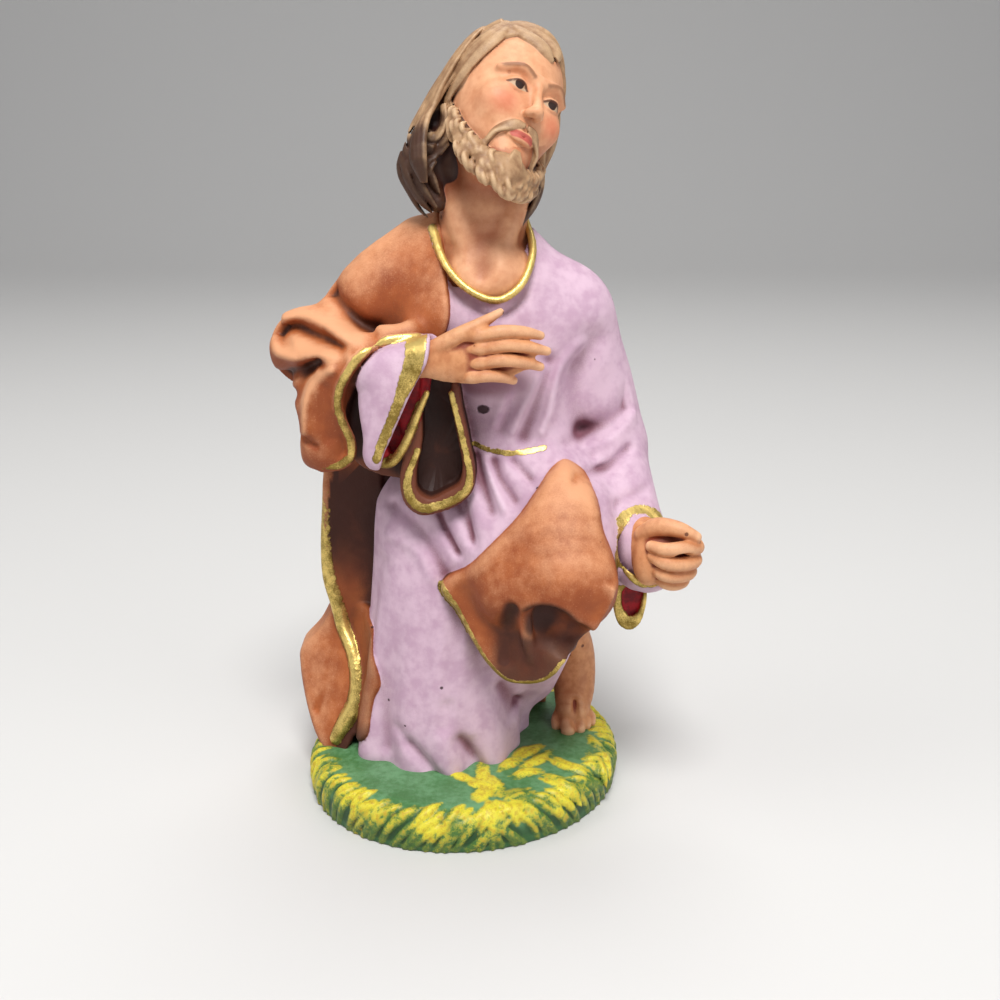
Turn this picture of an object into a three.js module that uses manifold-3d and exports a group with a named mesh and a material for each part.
// A kneeling crib figure, cast in one piece of plaster with the grassy mound that it kneels on.
// It is shaped as a modeller would in clay: rounded masses are laid on and blended, hollows are cut
// away, and folds are pressed in. Every mass is a distance function. The distances are gathered on a
// lattice, and the surface is read off it.
//
// Axes: +Z up, the viewer looks along +Y, and +X is to the viewer's right. Millimetres, with the
// origin under the mound. Places on the figure are shares of its height: 1 is a hundredth of HEIGHT.
import * as THREE from "three";
import { edgeTable, triTable } from "three/addons/objects/MarchingCubes.js";
import { SimplifyModifier } from "three/addons/modifiers/SimplifyModifier.js";
import { mergeVertices } from "three/addons/utils/BufferGeometryUtils.js";
import Module from "manifold-3d";

// Driving sizes, in millimetres
const HEIGHT = 120;
const MOUND_LENGTH = 53;
const MOUND_WIDTH = 49.5;
const MOUND_THICKNESS = 6.6;
const CLOAK_THICKNESS = 1.5;
const FINGER_WIDTH = 1.6;

// How finely the clay is worked, and how many triangles the finished surface may have
const LATTICE_STEP = 0.8;
const TRIANGLES = 9600;

const SHARE = HEIGHT / 100;
const share = (millimetres) => millimetres / SHARE;
const radians = THREE.MathUtils.degToRad;
const at = (x, y, z) => new THREE.Vector3(x, y, z);

// Clay: a lattice of distances, below zero inside the plaster

const STEP = share(LATTICE_STEP);
const REACH = 0.5 * share(Math.max(MOUND_LENGTH, MOUND_WIDTH)) + 3 * STEP;
const LOW = at(-Math.max(27, REACH), -Math.max(25, REACH), -3 * STEP);
const HIGH = at(Math.max(31, REACH), Math.max(25, REACH), 104);
const COUNT = [0, 1, 2].map((i) => Math.ceil((HIGH.getComponent(i) - LOW.getComponent(i)) / STEP) + 1);
const [NX, NY, NZ] = COUNT;
const FAR = 50;

const blendedMin = (a, b, blend) => {
  const h = Math.max(blend - Math.abs(a - b), 0) / blend;
  return Math.min(a, b) - (h * h * blend) / 4;
};
const blendedMax = (a, b, blend) => -blendedMin(-a, -b, blend);

// A smooth line through points [x, z] drawn on the front view, and the distance to it.
function drawn(points, closed = false) {
  const curve = new THREE.CatmullRomCurve3(points.map(([x, z]) => at(x, 0, z)), closed, "centripetal");
  return curve.getPoints(5 * points.length);
}

function gapTo(line, x, z) {
  let nearest = FAR * FAR;
  for (let i = 0; i + 1 < line.length; i++) {
    const [a, b] = [line[i], line[i + 1]];
    const [ex, ez] = [b.x - a.x, b.z - a.z];
    const t = Math.min(Math.max(((x - a.x) * ex + (z - a.z) * ez) / (ex * ex + ez * ez || 1), 0), 1);
    nearest = Math.min(nearest, (x - a.x - t * ex) ** 2 + (z - a.z - t * ez) ** 2);
  }
  return Math.sqrt(nearest);
}

class Clay {
  constructor() {
    this.field = new Float32Array(NX * NY * NZ).fill(FAR);
  }

  // Calls change(value, x, y, z, index) at each lattice point in the box, and keeps what it returns.
  work(box, change) {
    const from = box.min.clone().sub(LOW).divideScalar(STEP).floor();
    const to = box.max.clone().sub(LOW).divideScalar(STEP).ceil();
    const [i0, j0, k0] = from.toArray().map((n) => Math.max(n, 0));
    const [i1, j1, k1] = to.toArray().map((n, axis) => Math.min(n, COUNT[axis] - 1));
    for (let k = k0; k <= k1; k++)
      for (let j = j0; j <= j1; j++)
        for (let i = i0; i <= i1; i++) {
          const n = i + NX * (j + NY * k);
          this.field[n] = change(this.field[n], LOW.x + i * STEP, LOW.y + j * STEP, LOW.z + k * STEP, n);
        }
    return this;
  }

  add(shape, blend = 1.2) {
    const box = shape.box.clone().expandByScalar(blend + 3);
    return this.work(box, (value, x, y, z) => blendedMin(value, shape.distance(x, y, z), blend));
  }

  cut(shape, blend = 0.8) {
    const box = shape.box.clone().expandByScalar(blend + 1);
    return this.work(box, (value, x, y, z) => blendedMax(value, -shape.distance(x, y, z), blend));
  }

  // Lays cloth of one thickness over what lies under it, as far as the outline reaches.
  drape(under, thickness, outline, blend = 0.6) {
    return this.work(outline.box, (value, x, y, z, n) => {
      const cloth = blendedMax(under.field[n] - thickness, outline.distance(x, y, z), blend);
      return blendedMin(value, cloth, blend);
    });
  }

  // Presses a soft groove into the front, along a line on the front view. A negative depth raises a ridge.
  press(points, width, depth, far = 0) {
    const line = drawn(points);
    const box = new THREE.Box3().setFromPoints(line).expandByScalar(2.2 * width);
    [box.min.y, box.max.y] = [LOW.y, far];
    const soft = (x, z) => Math.exp(-((gapTo(line, x, z) / width) ** 2));
    return this.work(box, (value, x, y, z) => value + depth * soft(x, z));
  }

  join(other, blend) {
    this.field.forEach((value, n) => {
      this.field[n] = blendedMin(value, other.field[n], blend);
    });
    return this;
  }

  // Nothing is left inside at the lattice's border, so the surface always closes.
  seal() {
    const border = (n, axis) => n === 0 || n === COUNT[axis] - 1;
    this.work(new THREE.Box3(LOW, HIGH), (value, x, y, z, n) => {
      const place = [n % NX, Math.floor(n / NX) % NY, Math.floor(n / (NX * NY))];
      return place.some(border) ? Math.max(value, 0.5 * STEP) : value;
    });
  }
}

// Shapes: each has a box and a distance function

// An egg with three radii, turned by a matrix that keeps lengths.
function egg(centre, radii, turn = new THREE.Matrix4()) {
  const reach = Math.max(...radii);
  const box = new THREE.Box3().setFromCenterAndSize(centre, at(2 * reach, 2 * reach, 2 * reach));
  const m = turn.elements;
  const [rx, ry, rz] = radii;
  const distance = (x, y, z) => {
    const [dx, dy, dz] = [x - centre.x, y - centre.y, z - centre.z];
    const a = (dx * m[0] + dy * m[1] + dz * m[2]) / rx;
    const b = (dx * m[4] + dy * m[5] + dz * m[6]) / ry;
    const c = (dx * m[8] + dy * m[9] + dz * m[10]) / rz;
    const size = Math.hypot(a, b, c);
    const slope = Math.hypot(a / rx, b / ry, c / rz) || 1 / reach;
    return (size * (size - 1)) / slope;
  };
  return { box, distance };
}

// A roll of clay along a smooth curve, with a radius at each point. flat squeezes it along a direction.
function roll(points, radii, flat = null, squeeze = 1, pieces = 4) {
  const curve = new THREE.CatmullRomCurve3(points, false, "centripetal");
  const steps = pieces * (points.length - 1);
  const line = Array.from({ length: steps + 1 }, (_, i) => curve.getPoint(i / steps));
  const thickness = new THREE.CatmullRomCurve3(radii.map((r, i) => at(i, r, 0)), false, "catmullrom");
  const radius = line.map((_, i) => thickness.getPoint(i / steps).y);
  const box = new THREE.Box3().setFromPoints(line).expandByScalar(Math.max(...radii));
  const f = flat ? flat.clone().normalize() : at(0, 0, 0);
  const distance = (x, y, z) => {
    let nearest = FAR;
    for (let i = 0; i < steps; i++) {
      const [a, b] = [line[i], line[i + 1]];
      const [ex, ey, ez] = [b.x - a.x, b.y - a.y, b.z - a.z];
      let [dx, dy, dz] = [x - a.x, y - a.y, z - a.z];
      const t = Math.min(Math.max((dx * ex + dy * ey + dz * ez) / (ex * ex + ey * ey + ez * ez), 0), 1);
      [dx, dy, dz] = [dx - t * ex, dy - t * ey, dz - t * ez];
      const s = (squeeze - 1) * (dx * f.x + dy * f.y + dz * f.z);
      const d = Math.hypot(dx + s * f.x, dy + s * f.y, dz + s * f.z);
      nearest = Math.min(nearest, d - radius[i] - t * (radius[i + 1] - radius[i]));
    }
    return nearest;
  };
  return { box, distance };
}

// A column of oval sections. Each level is [z, centre x, centre y, radius x, radius y], from the lowest up.
// pleat(angle, z) gives how far the cloth stands out, as a share of the radius.
function column(levels, pleat = () => 0) {
  const along = levels.map((level) => level[0]);
  const levelAt = (z) => {
    const k = Math.min(Math.max(along.findIndex((height) => height >= z), 1), levels.length - 1);
    const [a, b] = [levels[k - 1], levels[k]];
    const [before, after] = [levels[Math.max(k - 2, 0)], levels[Math.min(k + 1, levels.length - 1)]];
    const t = Math.min(Math.max((z - a[0]) / (b[0] - a[0]), 0), 1);
    return a.map((_, i) => {
      const [m0, m1] = [(b[i] - before[i]) / 2, (after[i] - a[i]) / 2];
      const [t2, t3] = [t * t, t * t * t];
      const straight = a[i] + (3 * t2 - 2 * t3) * (b[i] - a[i]);
      return straight + (t3 - 2 * t2 + t) * m0 + (t3 - t2) * m1;
    });
  };
  const [bottom, top] = [along[0], along[along.length - 1]];
  const reach = Math.max(...levels.map((l) => Math.max(Math.abs(l[1]) + l[3], Math.abs(l[2]) + l[4])));
  const box = new THREE.Box3(at(-reach - 2, -reach - 2, bottom), at(reach + 2, reach + 2, top));
  const sections = new Map();
  const distance = (x, y, z) => {
    if (!sections.has(z)) sections.set(z, levelAt(Math.min(Math.max(z, bottom), top)));
    const [, cx, cy, rx, ry] = sections.get(z);
    const [dx, dy] = [x - cx, y - cy];
    const size = Math.hypot(dx / rx, dy / ry);
    const wall = (size / (1 + pleat(Math.atan2(dy, dx), z)) - 1) * Math.min(rx, ry);
    return blendedMax(wall, Math.max(bottom - z, z - top), 1.5);
  };
  return { box, distance };
}

// The space behind an outline drawn on the front view, from the depth near to the depth far.
function outline(points, near, far) {
  const line = drawn(points, true);
  const box = new THREE.Box3().setFromPoints(line).expandByScalar(2);
  [box.min.y, box.max.y] = [near, far];
  const distance = (x, y, z) => {
    const crossed = line.filter((a, i) => {
      const b = line[(i + 1) % line.length];
      return a.z > z !== b.z > z && x < a.x + ((z - a.z) * (b.x - a.x)) / (b.z - a.z);
    });
    const gap = gapTo(line, x, z);
    return Math.max(crossed.length % 2 ? -gap : gap, near - y, y - far);
  };
  return { box, distance };
}

// Everything on the side of a plane that its normal points to.
function beyond(point, normal, size) {
  const n = normal.clone().normalize();
  const box = new THREE.Box3().setFromCenterAndSize(point, at(2 * size, 2 * size, 2 * size));
  const distance = (x, y, z) => {
    const out = (x - point.x) * n.x + (y - point.y) * n.y + (z - point.z) * n.z;
    const reach = Math.hypot(x - point.x, y - point.y, z - point.z);
    return Math.max(-out, reach - size);
  };
  return { box, distance };
}

// Everything behind a plane, where its normal doesn't point. The box is that of the shape it is used with.
function behind(point, normal) {
  const n = normal.clone().normalize();
  const distance = (x, y, z) => (x - point.x) * n.x + (y - point.y) * n.y + (z - point.z) * n.z;
  return { distance };
}

// One shape, as far as another reaches.
function within(shape, limit, blend = 0.8) {
  const distance = (x, y, z) => blendedMax(shape.distance(x, y, z), limit.distance(x, y, z), blend);
  return { box: shape.box, distance };
}

// Several shapes blended to one.
function together(shapes, blend = 1.5) {
  const box = shapes.reduce((all, shape) => all.union(shape.box), new THREE.Box3());
  const distance = (x, y, z) =>
    shapes.reduce((value, shape) => blendedMin(value, shape.distance(x, y, z), blend), FAR);
  return { box, distance };
}

// The mound that it kneels on: a rounded oval cushion with tufts of grass round its edge

const MOUND_TURN = radians(62);
const MOUND = {
  long: share(MOUND_LENGTH) / 2,
  wide: share(MOUND_WIDTH) / 2,
  top: share(MOUND_THICKNESS),
};
const RIM_ROUNDING = 0.48;
const CROWN_RISE = 0.5;

function moundBody() {
  const { long, wide, top } = MOUND;
  const round = RIM_ROUNDING * top;
  const box = new THREE.Box3(at(-long, -long, -top), at(long, long, top + CROWN_RISE));
  const distance = (x, y, z) => {
    const a = x * Math.cos(MOUND_TURN) + y * Math.sin(MOUND_TURN);
    const b = y * Math.cos(MOUND_TURN) - x * Math.sin(MOUND_TURN);
    const size = Math.hypot(a / long, b / wide);
    const side = (size - 1) * wide + round;
    const crown = top + CROWN_RISE * (1 - size * size);
    const upright = Math.max(z - crown + round, -z - top + round);
    const corner = Math.hypot(Math.max(side, 0), Math.max(upright, 0));
    return corner + Math.min(Math.max(side, upright), 0) - round;
  };
  return { box, distance };
}

// A point on the mound's side: share of the radius, angle round it, height.
function onMound(out, angle, z) {
  const [a, b] = [out * MOUND.long * Math.cos(angle), out * MOUND.wide * Math.sin(angle)];
  const [c, s] = [Math.cos(MOUND_TURN), Math.sin(MOUND_TURN)];
  return at(a * c - b * s, a * s + b * c, z);
}

// Blades of grass lean round the rim, from its foot over its shoulder.
const BLADES = 36;
const BLADE_WIDTH = 1.3;

function makeMound() {
  const mound = new Clay().add(moundBody());
  for (let i = 0; i < BLADES; i++) {
    const angle = (2 * Math.PI * i) / BLADES;
    const lean = 0.12 + 0.04 * Math.sin(5 * i);
    const foot = onMound(0.985, angle - lean, (0.16 + 0.1 * Math.cos(7 * i)) * MOUND.top);
    const middle = onMound(0.98, angle, 0.62 * MOUND.top);
    const tip = onMound(0.85, angle + lean, 1.02 * MOUND.top);
    const thickness = [0.2, 0.5, 0.2].map((part) => part * BLADE_WIDTH);
    mound.add(roll([foot, middle, tip], thickness), 0.5);
  }
  return mound;
}

// The robe: trunk, skirt over the kneeling leg, raised thigh, and both sleeves

const GROUND = MOUND.top;

function makeRobe() {
  const skirtPleat = (angle, z) => {
    const low = THREE.MathUtils.smoothstep(46 - z, 0, 40);
    return low * (0.035 * Math.sin(7 * angle + 0.6) + 0.03 * Math.sin(12 * angle + 0.05 * z));
  };
  const robe = new Clay();
  robe.add(column([
    [34, 6, 0.5, 8, 6],
    [42, 6.6, 0.5, 10.8, 8],
    [49, 7.2, 0.5, 10, 7.4],
    [58, 5.4, 0.5, 11.8, 8.4],
    [65, 4.2, 0.6, 12.6, 8.6],
    [70, 3.8, 0.8, 11, 7],
    [74, 3.4, 0.8, 7.4, 5.4],
    [77.5, 3.2, 0.8, 4.6, 4],
  ]));
  robe.add(column([
    [GROUND - 1.5, -3, 1.5, 11.4, 13.5],
    [18, -2.4, 0.8, 10.9, 11.5],
    [30, -0.6, 0.2, 11.6, 10.2],
    [40, 3.4, 0.2, 12, 9],
    [48, 6, 0.5, 9.8, 7.4],
    [54, 6.4, 0.5, 6, 5],
  ], skirtPleat), 3.5);
  robe.add(egg(at(13.2, 1.4, 64.6), [5.4, 5.4, 6.2]), 3);
  robe.add(roll([at(11.6, 1, 41), at(12.6, -7, 39.4), at(13.2, -13.2, 34.2)], [8, 7.6, 6]), 4.5);
  robe.add(roll([at(6, -1, 42), at(5.4, -7.4, 37), at(6.8, -12.4, 32.4)], [7, 6.2, 4]), 3);
  robe.add(roll([at(12.4, -11, 31), at(12.4, -4, 22), at(12.4, 4, 13)], [5.4, 5.2, 4.2]), 3);
  robe.add(roll([at(8, 0, 28), at(8, 1, 16), at(7, 2, 10)], [8, 7, 5]), 3);
  addLeftSleeve(robe);
  pressFolds(robe, [...CHEST_FOLDS, ...SKIRT_FOLDS]);
  addRightSleeve(robe);
  return robe;
}

// The wide inner sleeve of the raised arm: a bell that hangs from the wrist and opens towards the hand.
function addRightSleeve(robe) {
  const bell = outline([[-13.4, 62], [-8.6, 64], [-4.2, 64.2], [-3, 62], [-2.6, 58.7], [-4.2, 54.7],
    [-6.2, 50.9], [-7.6, 48.4], [-10.4, 48.6], [-11.8, 50.6], [-12.6, 56]], -20, -7.6);
  const hollow = outline([[-9, 62.6], [-2, 63.4], [4, 60], [2, 50],
    [-6, 46.6], [-8.6, 49.6], [-9.6, 53], [-10, 58]], -13.3, -9.6);
  const nearRim = outline([[-3.6, 67], [-3.6, 63.2], [-5.2, 57.5], [-7.3, 52],
    [-8.9, 48.6], [-9, 44], [6, 44], [8, 67]], -22, -11.4);
  const middle = [at(-10.5, -9.6, 60.5), at(-7.6, -10.6, 58.5), at(-9, -10.6, 54), at(-9.6, -10.8, 50)];
  const body = roll(middle, [4.2, 4.6, 4.2, 3.6]);
  robe.add(within(body, bell, 1), 0.6);
  robe.cut(hollow, 0.4);
  robe.cut(nearRim, 0.4);
}

function addLeftSleeve(robe) {
  robe.add(roll([at(14, 1.4, 64), at(17, 3, 56), at(18.9, 2.5, 47.5)], [5.4, 5.2, 5.4]), 2.5);
  robe.add(roll([at(18.9, 2.5, 47), at(20, -2, 43), at(21.4, -6.5, 39.4)], [5.3, 5.2, 4.8]), 1.5);
  robe.cut(beyond(at(22.2, -8.4, 38.6), at(0.5, -0.8, -0.18), 8), 0.5);
  robe.add(roll([at(21.4, -6, 39), at(24, -10, 38)], [4, 3.5]), 0.4);
  const tip = [at(20.6, -5.4, 34.5), at(21.2, -6.2, 29), at(21.6, -6.4, 25.4)];
  robe.add(roll(tip, [3.4, 3, 1.8], at(0.35, -0.78, 0), 1.8), 1);
}

// The folds that show on the front: the line on the front view, the width, and how deep it is pressed.
const CHEST_FOLDS = [
  [[[-0.4, 71.7], [3.2, 67.9], [7.6, 66.7]], 1.2, 0.5],
  [[[16, 60.8], [12.4, 55.8], [8.7, 49.8]], 1.4, 1.1],
  [[[12.9, 62.6], [11.4, 55.8], [10.6, 50]], 1.1, 0.8],
  [[[14.4, 59], [12.2, 55], [9.8, 50]], 0.8, -0.4],
  [[[7.4, 56.4], [6.8, 52.6], [6.5, 49.8]], 0.8, 0.4],
  [[[23.5, 54.6], [20.3, 52.8], [17.5, 51.5]], 1, 0.8],
  [[[21.6, 45.1], [17.9, 45.6], [12.7, 47.7]], 1.1, 0.8],
];
const SKIRT_FOLDS = [
  [[[3.3, 47.7], [2.2, 41.2]], 0.8, 0.7],
  [[[5, 47.7], [5, 40.5]], 0.8, 0.8],
  [[[6.8, 47.7], [7.5, 41.8]], 0.8, 0.7],
  [[[8.7, 47.7], [9.6, 43.4]], 0.7, 0.5],
  [[[-7.5, 43.5], [-3.8, 39.8], [-0.1, 37.3]], 1.1, 0.9],
  [[[1.1, 30.1], [0.2, 19], [1.3, 7.4]], 1.5, 0.8],
  [[[5.2, 16.4], [3.9, 11.3], [3.6, 6.6]], 1.2, 0.8],
  [[[-4.8, 17.6], [-1.6, 10.4], [2.6, 5.2]], 1.2, -0.6],
  [[[-8.7, 40.2], [-9.7, 29.3], [-10.6, 15.2], [-9.8, 6.4]], 1.4, 0.7],
];

function pressFolds(clay, folds) {
  folds.forEach(([line, width, depth]) => clay.press(line, width, depth));
}

// The collar's edge, a raised rim

const COLLAR = [
  [-3.2, -2.4, 75.6],
  [-1.2, -6.6, 71.6],
  [3.6, -8.6, 68.3],
  [7.6, -7.6, 70],
  [9, -3.6, 74],
  [8, 1, 77],
].map((p) => at(...p));

// The cloak: over the right shoulder and arm, down the back, and across the raised knee

const CLOTH = share(CLOAK_THICKNESS);

function makeCloak(robe) {
  const cloak = new Clay();
  const backPleat = (angle) => 0.03 * Math.sin(9 * angle) + 0.02 * Math.sin(5 * angle + 1);
  cloak.add(column([
    [GROUND - 2, -4, 6, 16, 14.6],
    [12, -3.8, 6.8, 16, 13.2],
    [20, -3.2, 6.8, 15.8, 11.6],
    [28, -2, 6.2, 16.2, 10],
    [42, -0.4, 5.2, 18.6, 8.2],
    [52, 1, 4.8, 18, 7.8],
    [60, 2, 4.2, 15, 7],
    [69, 2, 3.2, 12.6, 6],
    [75, 1.6, 3, 7.4, 4.4],
    [78, 1.6, 3, 4, 3],
  ], backPleat));
  cloak.cut(frontOfBack(), 0.8);
  addShoulderAndSleeve(cloak, robe);
  addFrontEnd(cloak);
  addSkirtTail(cloak);
  addKneeDrape(cloak, robe);
  return cloak;
}

// The cloak hangs behind the robe, so nothing of it is left before this depth.
function frontOfBack() {
  return outline([[-40, 48], [-16, 50], [-6, 70], [14, 84], [40, 84], [40, -6], [-40, -6]], -40, 3);
}

function addShoulderAndSleeve(cloak, robe) {
  const lapel = outline([[-20, 78], [-4.4, 80], [-2.6, 75], [-1.6, 70],
    [-1.4, 65], [-4, 61], [-20, 58]], -20, 20);
  cloak.drape(robe, CLOTH, lapel);
  const shoulder = roll([at(-4.4, 1.5, 72), at(-10.6, 0.6, 66.8), at(-15, -0.4, 61)], [5.2, 5.6, 4.4]);
  const upperArm = roll([at(-10, 1.5, 63), at(-15, 1, 61.4), at(-19.4, 0, 60.4)], [5, 4.8, 4.7]);
  const elbow = roll([at(-19.6, -0.4, 60.6), at(-14, -5, 60.4), at(-9.4, -9, 61)], [4.8, 4.6, 3.4]);
  const hanging = roll([at(-18.2, -2.6, 58), at(-16.8, -5, 53), at(-17, -5.6, 48.6)], [4, 4, 3.6]);
  const front = outline([
    [-13, 68], [-8.6, 66], [-8.8, 62.8], [-12, 60.6], [-13.6, 57.4], [-14.1, 55.3], [-13.6, 51.7],
    [-14, 48.4], [-15.4, 46.2], [-17.8, 45.4], [-20, 46.6], [-20.4, 49.1], [-19.8, 52.4], [-21.6, 54.4],
    [-25.6, 57], [-25.8, 62], [-22, 66], [-17, 68],
  ], LOW.y, HIGH.y);
  cloak.add(shoulder, 2);
  cloak.add(upperArm, 3);
  cloak.add(within(together([elbow, hanging]), front), 1.2);
  pressFolds(cloak, SLEEVE_FOLDS);
}

// The folds that run together at the elbow, and the cloth between them standing out.
const SLEEVE_FOLDS = [
  [[[-17.4, 66.4], [-14.6, 65.6], [-11, 62.6]], 1.1, 1.4],
  [[[-25, 62], [-20.4, 61.4], [-15.8, 61.2]], 0.9, 0.9],
  [[[-24.6, 57.6], [-20.6, 58.8], [-17, 60]], 0.9, 0.9],
  [[[-21.4, 53.4], [-19.6, 56.6], [-17.6, 58.6]], 0.8, 0.8],
  [[[-17.4, 56.6], [-16.8, 52], [-17.2, 48]], 0.9, 0.4],
];

// The end that hangs under the raised hand, folded to a pouch that is open to the front.
function addFrontEnd(cloak) {
  const shape = [[-13, 58], [-6, 60], [1.2, 59.4], [1.3, 54], [1.6, 48],
    [-0.2, 44.4], [-3.8, 42.4], [-8, 43.6], [-13, 46]];
  const hollow = [[-3.8, 60], [-0.4, 60], [-0.6, 54.7], [0.2, 48.4],
    [-1, 46], [-3.8, 44.2], [-5, 46], [-4.6, 52]];
  cloak.add(outline(shape, -10.6, -4), 0.8);
  cloak.cut(outline(hollow, -20, -8), 0.5);
}

function addSkirtTail(cloak) {
  const fold = [at(-16.6, 7.5, 24), at(-19.8, 8, 15.4), at(-20.2, 8, 10), at(-18.2, 6.4, GROUND + 0.2)];
  const edge = [at(-18.2, 3.4, 40), at(-17.9, 3.2, 30), at(-15.4, 2, 20), at(-13.9, 0.6, 12),
    at(-15.4, 0.4, GROUND + 0.4)];
  cloak.add(roll(fold, [2.4, 3.6, 4, 3.2]), 3);
  cloak.add(roll(edge, [0.9, 1.1, 1.3, 1.5, 1.5]), 0.8);
}

const KNEE_FOLDS = [
  [[[3.1, 32.1], [5, 26.7], [6.5, 22.9]], 1, 0.9],
  [[[6.8, 29.4], [8.5, 26.1], [10.6, 22.4]], 0.9, -0.6],
];

// The part thrown over the raised knee: it lies on the thigh, turns over the knee and hangs down beyond it.
function addKneeDrape(cloak, robe) {
  const onThigh = outline([
    [12.6, 49.4], [8.6, 45.6], [3.7, 39], [-2.1, 33.6], [0, 30], [5, 28], [12, 27], [17.4, 28],
    [19.2, 31.5], [19.2, 35.5], [18.3, 39.4], [17.2, 44.6], [15.4, 48.4],
  ], -26, 1);
  const hanging = outline([
    [-2.1, 33.9], [-0.6, 30.9], [1.8, 26.2], [5, 22], [7.5, 20.8], [12, 21.8], [14.9, 24], [17.3, 27.8],
    [18.4, 32], [8, 36],
  ], -18, -2);
  const front = behind(at(-2, -11.4, 33), at(-0.38, -0.92, 0.06));
  const underneath = behind(at(8, -13, 22), at(0.3, 0.76, -0.62));
  cloak.add(within(within(hanging, front, 1), underneath, 1), 1.4);
  cloak.drape(robe, CLOTH, within(onThigh, behind(at(0, -12, 27), at(0, 0.68, -0.73)), 1), 1);
  const turn = [at(5.6, -16.4, 33), at(9.6, -18.6, 31.6), at(13.6, -19.4, 31), at(17.4, -16.6, 30)];
  cloak.add(roll(turn, [0.6, 1.2, 1.4, 1.2]), 1.6);
  cloak.cut(roll([at(11.2, -18, 27.4), at(13.8, -18.4, 26.6), at(16.4, -16.8, 27)], [1.2, 2.4, 1.4]), 1.2);
  pressFolds(cloak, KNEE_FOLDS);
}

// Skin: neck, hands and the bare foot

const FINGER = share(FINGER_WIDTH) / 2;

function makeSkin() {
  const skin = new Clay();
  skin.add(roll([at(2.6, 0.5, 69), at(2.8, 0, 76), at(4, 0.4, 83)], [6.4, 5.6, 5]));
  addRightHand(skin);
  addLeftFist(skin);
  addFoot(skin);
  addFace(skin);
  return skin;
}

function addRightHand(skin) {
  const back = at(0.1, -1, 0.05);
  const palm = [at(-9, -11, 60.4), at(-4, -12.4, 61.4), at(-0.6, -12.3, 61.4), at(2.4, -12, 61.6)];
  skin.add(roll(palm, [2, 2.1, 2.7, 2.5], back, 1.9), 0.8);
  const fingers = [
    [3, 64.2, 9.6, 64.7],
    [3.2, 62.4, 10.4, 62.1],
    [2.8, 60.6, 9.7, 60.2],
    [1.6, 58.8, 6.6, 58],
  ];
  fingers.forEach(([x0, z0, x1, z1]) => {
    const bent = at(0.45 * x0 + 0.55 * x1, -12.3, 0.45 * z0 + 0.55 * z1 + 0.3);
    const finger = [at(x0 - 2, -12.4, z0), bent, at(x1, -10.4, z1)];
    skin.add(roll(finger, [1.2 * FINGER, 1.05 * FINGER, 0.8 * FINGER]), 0.4);
  });
  const thumb = [at(-3.4, -12.2, 62.6), at(0.6, -12.4, 64.6), at(3, -11.6, 66.2), at(5, -10.2, 67.6)];
  skin.add(roll(thumb, [1.4, 1.5 * FINGER, 1.2 * FINGER, 0.7 * FINGER]), 0.6);
}

function addLeftFist(skin) {
  skin.add(roll([at(22.4, -8, 38.4), at(25, -11.4, 37.2)], [2.8, 3]), 0.6);
  skin.add(egg(at(25.8, -12, 36.6), [3.6, 3, 3.9]), 1);
  for (let i = 0; i < 4; i++) {
    const z = 38 - 1.6 * i;
    const out = 29.6 - 0.45 * i;
    const finger = [at(25.4, -14.8, z + 0.2), at(28, -15, z - 0.2), at(out, -13.4, z - 0.4),
      at(28.2, -11.2, z - 0.6)];
    skin.add(roll(finger, [1.1 * FINGER, 1.3 * FINGER, 1.3 * FINGER, FINGER]), 0.4);
  }
  const thumb = [at(24.4, -12.6, 39.8), at(27.2, -13.6, 40.4), at(29.6, -13.4, 39.2)];
  skin.add(roll(thumb, [1.4, 1.6 * FINGER, 1.3 * FINGER]), 0.4);
}

function addFoot(skin) {
  const foot = [at(15.4, 9, 14), at(15.8, 9, 10.6), at(15.8, 6, 8.6), at(15.4, 2.6, GROUND + 1.2)];
  skin.add(roll(foot, [2.6, 2.9, 2.9, 2.2]), 1);
  for (let i = 0; i < 5; i++) {
    const x = 13.4 + 1.05 * i;
    const size = i === 0 ? 1.05 : 0.8 - 0.05 * i;
    const toe = [at(x + 0.1, 3.4, GROUND + 1.1), at(x - 0.2, 0.6 + 0.4 * i, GROUND + 0.6)];
    skin.add(roll(toe, [size, size]), 0.3);
  }
}

// The head, made about its own centre: +X its left, -Y the way it faces, +Z its crown

const HEAD_CENTRE = at(5.3, -0.2, 90.2);
const HEAD_TURN = new THREE.Matrix4().makeRotationFromEuler(
  new THREE.Euler(radians(-22), radians(30), radians(34), "ZXY"),
);
const onHead = (x, y, z) => at(x, y, z).applyMatrix4(HEAD_TURN).add(HEAD_CENTRE);
const SIDES = [-1, 1];

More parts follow.
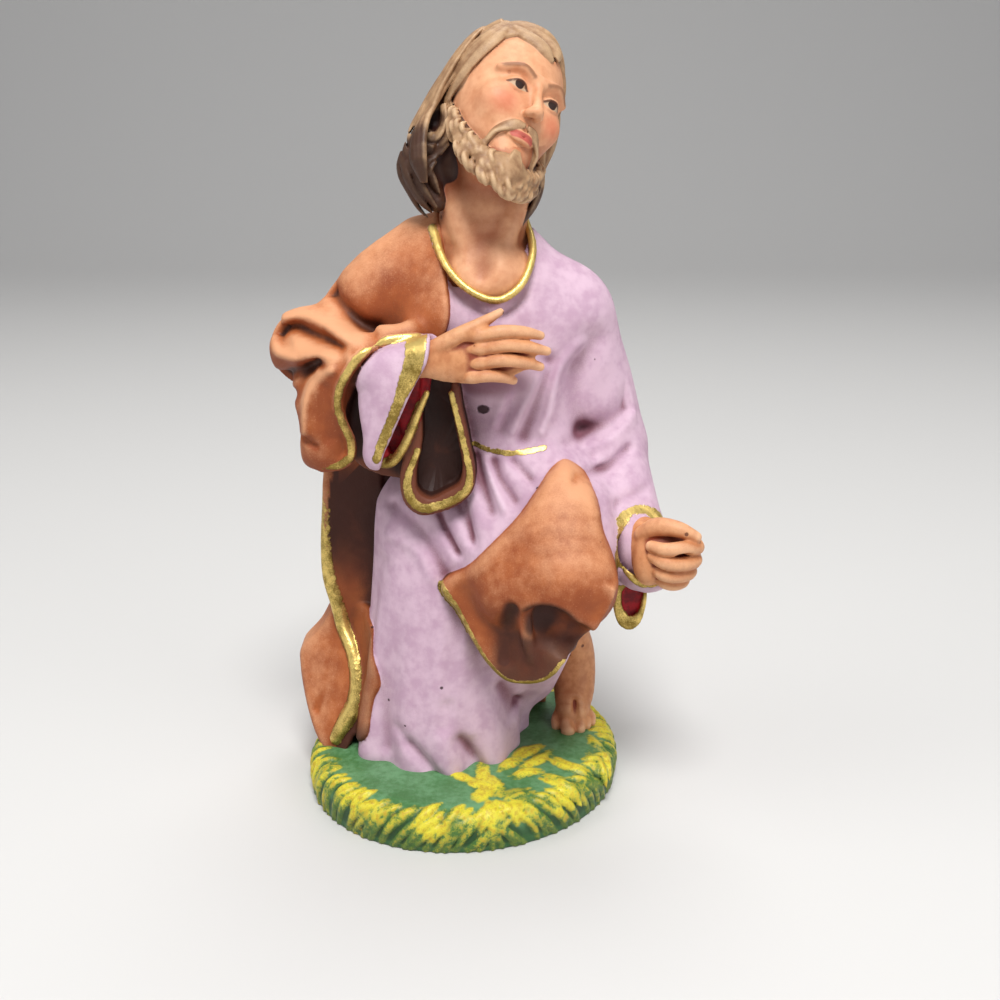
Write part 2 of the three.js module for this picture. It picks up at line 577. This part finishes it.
function addFace(skin) {
  skin.add(egg(onHead(0, 1.2, 2.2), [6.9, 8, 7.6], HEAD_TURN));
  skin.add(egg(onHead(0, -1.6, -2.8), [5.7, 5.9, 7.2], HEAD_TURN), 2);
  skin.add(egg(onHead(0, -5, -8.2), [2.4, 2.2, 1.9], HEAD_TURN), 2);
  SIDES.forEach((side) => {
    skin.add(egg(onHead(3.6 * side, -5.2, -2.2), [1.8, 1.6, 1.6], HEAD_TURN), 2);
    skin.cut(egg(onHead(2.6 * side, -8.4, 0.2), [1.8, 1.5, 1.1], HEAD_TURN), 1);
    const brow = [onHead(0.9 * side, -7.3, 1.6), onHead(2.7 * side, -7.2, 2.3),
      onHead(4.9 * side, -5.6, 1.5)];
    skin.add(roll(brow, [0.4, 0.5, 0.3]), 1);
    skin.add(egg(onHead(2.5 * side, -6, 0.1), [1.4, 1.4, 1.2], HEAD_TURN), 0.3);
    skin.add(egg(onHead(0.9 * side, -8.2, -3), [0.65, 0.9, 0.6], HEAD_TURN), 0.4);
  });
  const nose = [onHead(0, -7.1, 1.6), onHead(0, -8, -0.8), onHead(0, -8.8, -2.7)];
  skin.add(roll(nose, [0.65, 0.75, 1]), 0.8);
  const lip = (z, bow, radius) => {
    const across = [-1.9, -0.7, 0, 0.7, 1.9];
    const points = across.map((x) => onHead(x, -7.9 + 0.22 * x * x, z + bow * (3.6 - x * x)));
    return roll(points, [0.2, radius, radius, radius, 0.2]);
  };
  skin.add(lip(-5.5, 0.06, 0.4), 0.3);
  skin.add(lip(-5.9, -0.1, 0.45), 0.3);
}

// Hair: a cap with the face left open, wavy locks falling from a parting, and a short beard

// The locks: which side, how many degrees round the head from the face, and how far down the end hangs.
const LOCKS = [
  [-1, 58, -9.4], [-1, 76, -11.5], [-1, 96, -13], [-1, 116, -14],
  [-1, 136, -13.5], [-1, 157, -13], [-1, 178, -12.5],
  [1, 66, -8.5], [1, 86, -11], [1, 106, -12.5], [1, 128, -12.5], [1, 152, -12.5],
];

function makeHair() {
  const hair = new Clay();
  hair.add(egg(onHead(0, 1.4, 2.9), [7.5, 8.2, 7.5], HEAD_TURN));
  hair.add(egg(onHead(-0.6, 4.8, -4), [7, 5.2, 8.6], HEAD_TURN), 2);
  hair.add(egg(onHead(2.6, -2.6, 7), [3.6, 3.4, 2.8], HEAD_TURN), 2);
  hair.cut(egg(onHead(0, -9.4, -2.4), [6.2, 6.8, 9.2], HEAD_TURN), 0.8);
  LOCKS.forEach(([side, round, end]) => hair.add(lock(side, radians(round), end), 0.7));
  addBeard(hair);
  return hair;
}

// One lock: from the parting over the side of the head, waving to and fro, to its curled end.
function lock(side, round, end) {
  const sway = 0.13;
  const full = side < 0 ? 1 : 0.88;
  const path = [
    [3, 9.3, 0],
    [6.4, 6.6, 0.5],
    [7.6 * full, 1.6, -1],
    [7.8 * full, -2.6, 1],
    [8.8 * full, 0.58 * end, -1],
    [7.6 * full, end, 0.6],
  ];
  const points = path.map(([out, z, wave]) => {
    const angle = round + wave * sway;
    const deeper = 1 + 0.35 * Math.max(-Math.cos(angle), 0);
    return onHead(side * out * Math.sin(angle), 1 - deeper * out * Math.cos(angle), z);
  });
  return roll(points, [0.6, 1.2, 1.5, 1.5, 1.9, 1]);
}

function addBeard(hair) {
  SIDES.forEach((side) => {
    hair.add(roll([
      onHead(side * 6, -1.4, -2),
      onHead(side * 5.4, -2.8, -5.4),
      onHead(side * 4, -4.8, -8.4),
      onHead(side * 1.8, -6.4, -10.2),
      onHead(0, -7, -11),
    ], [0.9, 1.3, 1.7, 1.9, 1.7]), 1);
    hair.add(roll([
      onHead(side * 0.3, -8.4, -4.6),
      onHead(side * 1.8, -7.8, -5),
      onHead(side * 3.2, -6.4, -6.8),
      onHead(side * 3.4, -6, -8.4),
    ], [0.4, 0.65, 0.5, 0.4]), 0.4);
  });
}

// The finished casting: every mass joined, its surface read off the lattice, and its underside cut flat

function surfaceOf(clay) {
  clay.seal();
  const corners = [[0, 0, 0], [1, 0, 0], [1, 1, 0], [0, 1, 0], [0, 0, 1], [1, 0, 1], [1, 1, 1], [0, 1, 1]];
  const around = [0, 1, 2, 3].map((c) => [[c, (c + 1) % 4], [c + 4, ((c + 1) % 4) + 4], [c, c + 4]]);
  const edges = [0, 1, 2].flatMap((kind) => around.map((sides) => sides[kind]));
  const positions = [];
  const faces = [];
  const known = new Map();
  const index = (i, j, k) => i + NX * (j + NY * k);
  const vertex = (i, j, k, edge) => {
    const [a, b] = edges[edge].map((c) => corners[c].map((step, axis) => [i, j, k][axis] + step));
    const [na, nb] = [index(...a), index(...b)];
    const key = Math.min(na, nb) * 3 + [1, NX, NX * NY].indexOf(Math.abs(na - nb));
    if (!known.has(key)) {
      const [fa, fb] = [clay.field[na], clay.field[nb]];
      const t = THREE.MathUtils.clamp(fa / (fa - fb), 0.02, 0.98);
      known.set(key, positions.length / 3);
      a.forEach((n, axis) => positions.push(LOW.getComponent(axis) + STEP * (n + t * (b[axis] - n))));
    }
    return known.get(key);
  };
  for (let k = 0; k + 1 < NZ; k++)
    for (let j = 0; j + 1 < NY; j++)
      for (let i = 0; i + 1 < NX; i++) {
        const inside = corners.reduce(
          (bits, [x, y, z], c) => bits | ((clay.field[index(i + x, j + y, k + z)] < 0 ? 1 : 0) << c), 0);
        if (!edgeTable[inside]) continue;
        for (let n = 16 * inside; triTable[n] >= 0; n += 3)
          faces.push(...[0, 2, 1].map((turn) => vertex(i, j, k, triTable[n + turn])));
      }
  const geometry = new THREE.BufferGeometry();
  geometry.setAttribute("position", new THREE.Float32BufferAttribute(positions, 3));
  geometry.setIndex(faces);
  return geometry.scale(SHARE, SHARE, SHARE);
}

const wasm = await Module();
wasm.setup();

function solidOf(geometry) {
  const bare = geometry.clone();
  ["normal", "uv"].forEach((name) => bare.deleteAttribute(name));
  const merged = mergeVertices(bare);
  return new wasm.Manifold(new wasm.Mesh({
    numProp: 3,
    vertProperties: merged.attributes.position.array,
    triVerts: new Uint32Array(merged.index.array),
  }));
}

function geometryOf(solid) {
  const mesh = solid.getMesh();
  const geometry = new THREE.BufferGeometry();
  geometry.setAttribute("position", new THREE.BufferAttribute(new Float32Array(mesh.vertProperties), 3));
  geometry.setIndex(new THREE.BufferAttribute(new Uint32Array(mesh.triVerts), 1));
  geometry.computeVertexNormals();
  return geometry;
}

async function makeFigure() {
  const robe = makeRobe();
  const cloak = makeCloak(robe);
  const skin = makeSkin();
  robe.add(roll(COLLAR, COLLAR.map(() => 0.7)), 0.5);
  const casting = makeMound().join(robe, 0.6).join(cloak, 0.4).join(skin, 0.4).join(makeHair(), 0.4);
  const fine = surfaceOf(casting);
  const vertices = fine.attributes.position.count;
  const simple = await new SimplifyModifier().modify(fine, vertices - TRIANGLES / 2);
  const below = new THREE.BoxGeometry(4 * HEIGHT, 4 * HEIGHT, HEIGHT).translate(0, 0, -HEIGHT / 2);
  return geometryOf(solidOf(simple).subtract(solidOf(below)));
}

const plaster = new THREE.MeshStandardMaterial({ color: 0xc3a3c0, roughness: 0.75, metalness: 0 });
const figure = new THREE.Mesh(await makeFigure(), plaster);
figure.name = "kneeling_figure";

const part = new THREE.Group();
part.add(figure);
export default part;
